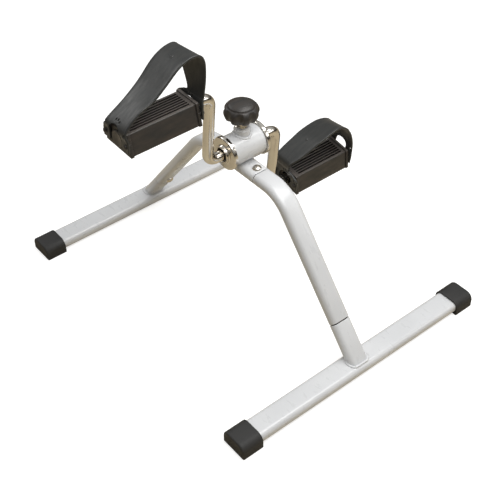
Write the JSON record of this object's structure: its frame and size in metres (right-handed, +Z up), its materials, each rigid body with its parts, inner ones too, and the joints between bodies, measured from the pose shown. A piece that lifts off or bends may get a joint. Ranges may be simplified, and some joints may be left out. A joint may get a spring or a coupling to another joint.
{
  "type": "pedal exerciser",
  "caption": "Low pedal exerciser: bent-rod crank in a hub on an arched oval-tube frame with two capped foot bars, strapped pedals and a resistance knob.",
  "frame": {"origin": "on the floor, midway between the two foot bars and under the middle of the crank axis", "axes": "+X along the crank axis to the sitter's right, +Y from the front foot bar to the rear one, +Z up"},
  "size_m": [0.4, 0.4892, 0.4067],
  "materials": {
    "white_paint": "glossy pale grey-white paint with slight orange peel",
    "chrome": "bright plating",
    "zinc_steel": "zinc-plated steel",
    "black_plastic": "satin moulded black plastic",
    "black_rubber": "fine-grained moulded black rubber",
    "strap_rubber": "smooth flexible black strap with a soft sheen",
    "nylon": "natural nylon"
  },
  "bodies": {
    "frame": {"front_foot_bar": "white_paint", "front_foot_stub": "white_paint", "front_leg": "white_paint", "front_leg_bolt": "chrome", "front_leg_nut": "zinc_steel", "front_foot_screw": "chrome", "front_left_foot_cap": "black_rubber", "front_right_foot_cap": "black_rubber", "rear_foot_bar": "white_paint", "rear_foot_stub": "white_paint", "rear_leg": "white_paint", "rear_leg_bolt": "chrome", "rear_leg_nut": "zinc_steel", "rear_foot_screw": "chrome", "rear_left_foot_cap": "black_rubber", "rear_right_foot_cap": "black_rubber", "centre_tube": "white_paint", "hub_shell": "white_paint", "tension_boss": "white_paint", "tension_nut": "chrome", "left_hub_cup": "chrome", "left_hub_bush": "black_plastic", "right_hub_cup": "chrome", "right_hub_bush": "black_plastic"},
    "brake": {"brake_pad": "nylon", "pressure_disc": "zinc_steel"},
    "knob": {"tension_knob": "black_plastic", "tension_screw": "zinc_steel"},
    "crank": {"crankshaft": "chrome"},
    "left_pedal": {"left_pedal_body": "black_plastic", "left_pedal_sleeve": "nylon", "left_pedal_clip": "zinc_steel", "left_pedal_cap": "black_plastic", "left_foot_strap": "strap_rubber"},
    "right_pedal": {"right_pedal_body": "black_plastic", "right_pedal_sleeve": "nylon", "right_pedal_clip": "zinc_steel", "right_pedal_cap": "black_plastic", "right_foot_strap": "strap_rubber"}
  },
  "joints": [
    {"name": "crank_spin", "type": "hinge", "parent": "frame", "child": "crank", "pos_m": [0, 0, 0.22855], "axis": [1, 0, 0], "continuous": true},
    {"name": "left_pedal_spin", "type": "hinge", "parent": "crank", "child": "left_pedal", "pos_m": [-0.133, -0.01137, 0.32991], "axis": [1, 0, 0], "continuous": true},
    {"name": "right_pedal_spin", "type": "hinge", "parent": "crank", "child": "right_pedal", "pos_m": [0.133, 0.01137, 0.12719], "axis": [1, 0, 0], "continuous": true},
    {"name": "brake_feed", "type": "slide", "parent": "frame", "child": "brake", "axis": [0, 0, 1], "range_m": [-0.00088, 0.00251]},
    {"name": "knob_turn", "type": "hinge", "parent": "brake", "child": "knob", "pos_m": [0, 0, 0.279], "axis": [0, 0, 1], "range_deg": [-250, 720]}
  ],
  "couplings": [
    {"joint": "brake_feed", "follows": "knob_turn", "m_per_rad": 0.00019894}
  ]
}
